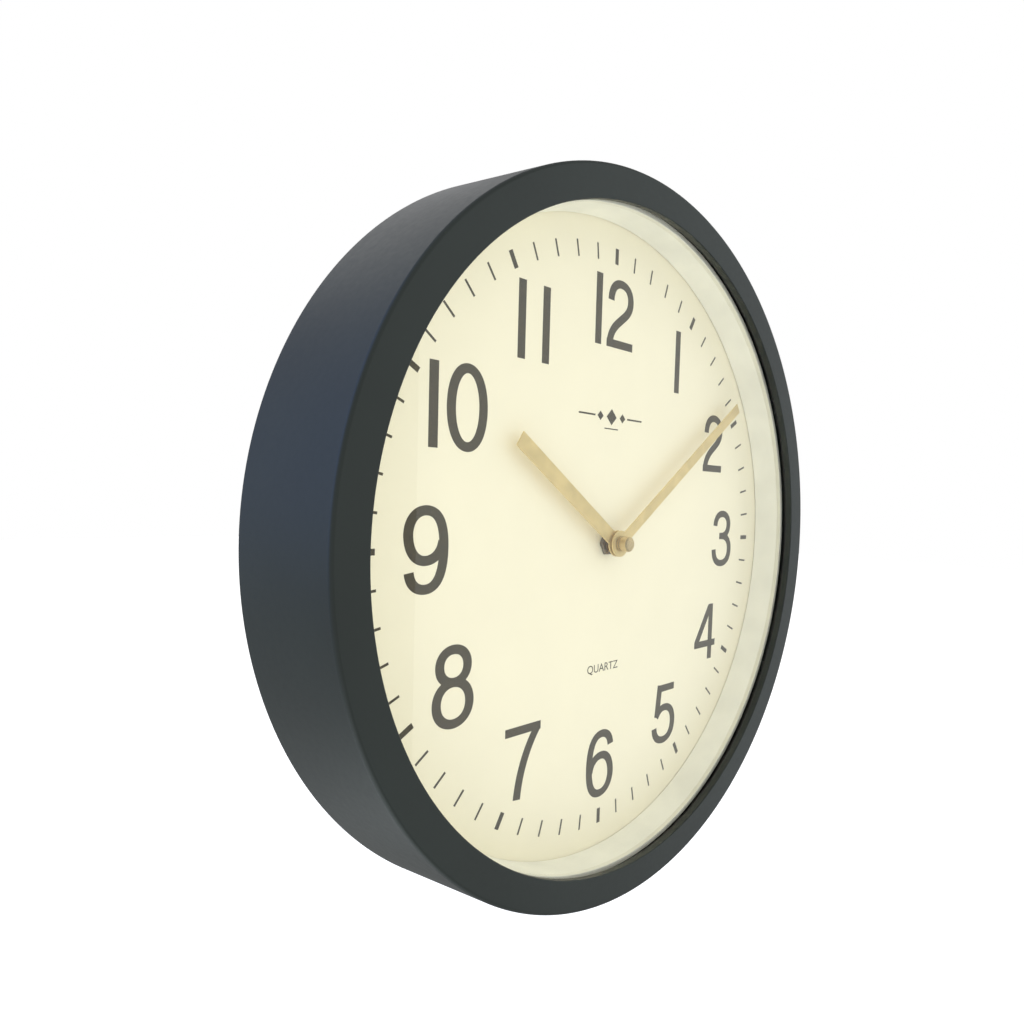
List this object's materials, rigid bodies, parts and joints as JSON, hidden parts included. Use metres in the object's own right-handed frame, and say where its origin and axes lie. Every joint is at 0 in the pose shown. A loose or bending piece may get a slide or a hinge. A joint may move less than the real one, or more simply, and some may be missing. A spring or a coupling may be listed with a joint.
{
  "type": "schoolhouse wall clock",
  "caption": "Round wall clock: painted case with a flat front ring, cream dial set back behind glass, two baton hands, and a quartz movement with its train and battery.",
  "frame": {"origin": "middle of the case: on the hands' axis, halfway between the front face and the back rim", "axes": "the dial faces -Y, 12 o'clock points to +Z, and +X is to the right of the dial"},
  "size_m": [0.305, 0.047, 0.305],
  "materials": {
    "case_paint": "semi-matt grey-green enamel",
    "clear_glass": "clear flat glass",
    "rubber": "matt black rubber",
    "cream_ring": "matt cream",
    "dial_card": "printed cream card",
    "hardboard": "smooth brown hardboard",
    "brass": "turned brass",
    "dark_steel": "darkened steel",
    "zinc_steel": "bright zinc plating",
    "electrical_steel": "grey stamped steel",
    "gold_hands": "champagne gold lacquer",
    "black_plastic": "fine grained black moulding",
    "white_acetal": "natural white moulding",
    "blue_acetal": "blue moulding",
    "red_plastic": "red moulding",
    "copper_wire": "enamelled copper wire",
    "circuit_board": "green solder mask",
    "magnet": "dark sintered magnet",
    "battery_sleeve": "plain blue sleeve with no print"
  },
  "bodies": {
    "clock_case": {"case_shell": "case_paint", "lens_gasket": "rubber", "glass_lens": "clear_glass", "reflector_ring": "cream_ring", "dial": "dial_card", "backing_board": "hardboard", "board_screw_1": "zinc_steel", "board_screw_2": "zinc_steel", "board_screw_3": "zinc_steel", "board_screw_4": "zinc_steel", "board_screw_5": "zinc_steel", "board_screw_6": "zinc_steel", "threaded_bushing": "brass", "dial_nut": "dark_steel", "rubber_washer": "rubber", "hanger_plate": "zinc_steel", "movement_housing": "black_plastic", "train_bridge": "white_acetal", "movement_cover": "black_plastic", "stator": "electrical_steel", "coil_core": "electrical_steel", "coil_bobbin": "blue_acetal", "coil_winding": "copper_wire", "circuit_board": "circuit_board", "timing_chip": "black_plastic", "quartz_crystal": "zinc_steel", "positive_contact": "zinc_steel", "negative_spring": "zinc_steel"},
    "minute_hand": {"cannon_pinion": "brass", "minute_hand": "gold_hands", "cap_nut": "brass"},
    "hour_hand": {"hour_wheel": "white_acetal", "hour_hand": "gold_hands"},
    "minute_wheel": {"minute_wheel": "white_acetal"},
    "setting_knob": {"setting_knob": "red_plastic"},
    "seconds_wheel": {"seconds_wheel": "white_acetal"},
    "intermediate_wheel": {"intermediate_wheel": "blue_acetal"},
    "rotor": {"rotor": "magnet"},
    "third_wheel": {"third_wheel": "white_acetal"},
    "centre_wheel": {"centre_wheel": "brass"},
    "battery": {"battery": "battery_sleeve"}
  },
  "joints": [
    {"name": "minute_hand_turn", "type": "hinge", "parent": "clock_case", "child": "minute_hand", "pos_m": [0, -0.008, 0], "axis": [0, 1, 0], "continuous": true},
    {"name": "hour_hand_turn", "type": "hinge", "parent": "clock_case", "child": "hour_hand", "pos_m": [0, -0.0062, 0], "axis": [0, 1, 0], "continuous": true},
    {"name": "minute_wheel_turn", "type": "hinge", "parent": "clock_case", "child": "minute_wheel", "pos_m": [-0.00789, 0.0094, -0.00287], "axis": [0, 1, 0], "continuous": true},
    {"name": "setting_knob_turn", "type": "hinge", "parent": "clock_case", "child": "setting_knob", "pos_m": [-0.01579, 0.0217, -0.00575], "axis": [0, 1, 0], "continuous": true},
    {"name": "seconds_wheel_turn", "type": "hinge", "parent": "clock_case", "child": "seconds_wheel", "pos_m": [0, 0.0145, 0], "axis": [0, 1, 0], "continuous": true},
    {"name": "intermediate_wheel_turn", "type": "hinge", "parent": "clock_case", "child": "intermediate_wheel", "pos_m": [0.00482, 0.0162, 0.00688], "axis": [0, 1, 0], "continuous": true},
    {"name": "rotor_turn", "type": "hinge", "parent": "clock_case", "child": "rotor", "pos_m": [0.01061, 0.0125, 0.01174], "axis": [0, 1, 0], "continuous": true},
    {"name": "third_wheel_turn", "type": "hinge", "parent": "clock_case", "child": "third_wheel", "pos_m": [-0.00935, 0.0128, 0.0054], "axis": [0, 1, 0], "continuous": true},
    {"name": "centre_wheel_turn", "type": "hinge", "parent": "clock_case", "child": "centre_wheel", "pos_m": [0, 0.0111, 0], "axis": [0, 1, 0], "continuous": true},
    {"name": "battery_slide", "type": "slide", "parent": "clock_case", "child": "battery", "axis": [0, 1, 0], "range_m": [0, 0.02]}
  ],
  "couplings": [
    {"joint": "hour_hand_turn", "follows": "minute_hand_turn", "ratio": 0.083333},
    {"joint": "minute_wheel_turn", "follows": "minute_hand_turn", "ratio": -0.33333},
    {"joint": "setting_knob_turn", "follows": "minute_hand_turn", "ratio": 1},
    {"joint": "intermediate_wheel_turn", "follows": "seconds_wheel_turn", "ratio": -5},
    {"joint": "rotor_turn", "follows": "seconds_wheel_turn", "ratio": 30},
    {"joint": "third_wheel_turn", "follows": "seconds_wheel_turn", "ratio": -0.125},
    {"joint": "centre_wheel_turn", "follows": "seconds_wheel_turn", "ratio": 0.016667}
  ]
}
